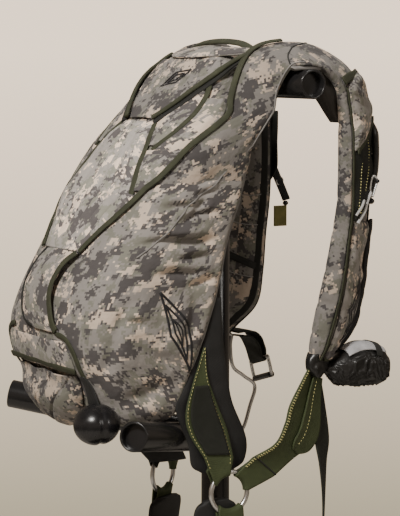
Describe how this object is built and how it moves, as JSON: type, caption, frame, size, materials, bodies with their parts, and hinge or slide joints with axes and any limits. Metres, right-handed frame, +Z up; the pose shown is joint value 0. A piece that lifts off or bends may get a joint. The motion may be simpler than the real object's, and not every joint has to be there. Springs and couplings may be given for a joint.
{
  "type": "packed parachute on a display stand",
  "caption": "Packed back parachute in digital camouflage with bound flaps, padded shoulder straps and loose harness webbing, held on a black pipe display stand.",
  "frame": {"origin": "on the underside of the base plate, on the post's axis, so the object stands on the plane Z = 0", "axes": "+Z up along the post, +X to the wearer's right, +Y to the chest side; the packed container is on the -Y side"},
  "size_m": [0.46, 0.544, 1.1254],
  "materials": {
    "camouflage": "matt woven nylon in a common digital camouflage of sand, mid grey and slate",
    "tape": "dark olive binding tape",
    "webbing": "olive harness webbing with pale yellow stitching",
    "black_cloth": "black padded cloth",
    "keeper": "grey elastic",
    "steel": "plated steel",
    "ball": "glossy black",
    "stand": "black paint, satin to glossy"
  },
  "bodies": {
    "root": {"adapter_L": "steel", "adapter_web_L": "webbing", "back_pad": "black_cloth", "ball_handle": "ball", "bar_clamp": "stand", "base_plate": "stand", "bottom_binding": "tape", "bottom_flap": "camouflage", "bundle_keeper_R": "keeper", "centre_binding_L": "tape", "centre_binding_R": "tape", "centre_flap": "camouflage", "chest_bundle_R": "black_cloth", "container_body": "camouflage", "cradle": "stand", "crossbar": "stand", "free_strap_R": "webbing", "hip_pad_L": "black_cloth", "hip_pad_R": "black_cloth", "hip_ring_L": "steel", "hip_ring_R": "steel", "hip_web_L": "webbing", "hip_web_R": "webbing", "inner_binding_L": "tape", "inner_binding_R": "tape", "inner_cover_L": "camouflage", "inner_cover_R": "camouflage", "leg_pad_L": "black_cloth", "leg_pad_R": "black_cloth", "leg_strap_L": "webbing", "leg_strap_R": "webbing", "lift_web_L": "webbing", "lift_web_R": "webbing", "long_binding_L": "tape", "long_binding_R": "tape", "lower_cover_R": "camouflage", "post": "stand", "pouch": "camouflage", "reserve_flap": "camouflage", "reserve_roll_L": "tape", "reserve_roll_R": "tape", "riser_L": "webbing", "riser_R": "webbing", "shoulder_strap_L": "camouflage", "shoulder_strap_R": "camouflage", "side_binding_L": "tape", "side_binding_R": "tape", "side_cover_L": "camouflage", "side_cover_R": "camouflage", "strap_band_L": "tape", "strap_band_R": "tape", "strap_binding_L": "black_cloth", "strap_binding_R": "tape", "strap_cover_L": "camouflage", "strap_cover_R": "camouflage", "tongue": "camouflage", "tongue_binding": "tape", "top_lip": "tape", "wire_handle_L": "steel", "yoke": "camouflage"}
  },
  "joints": []
}
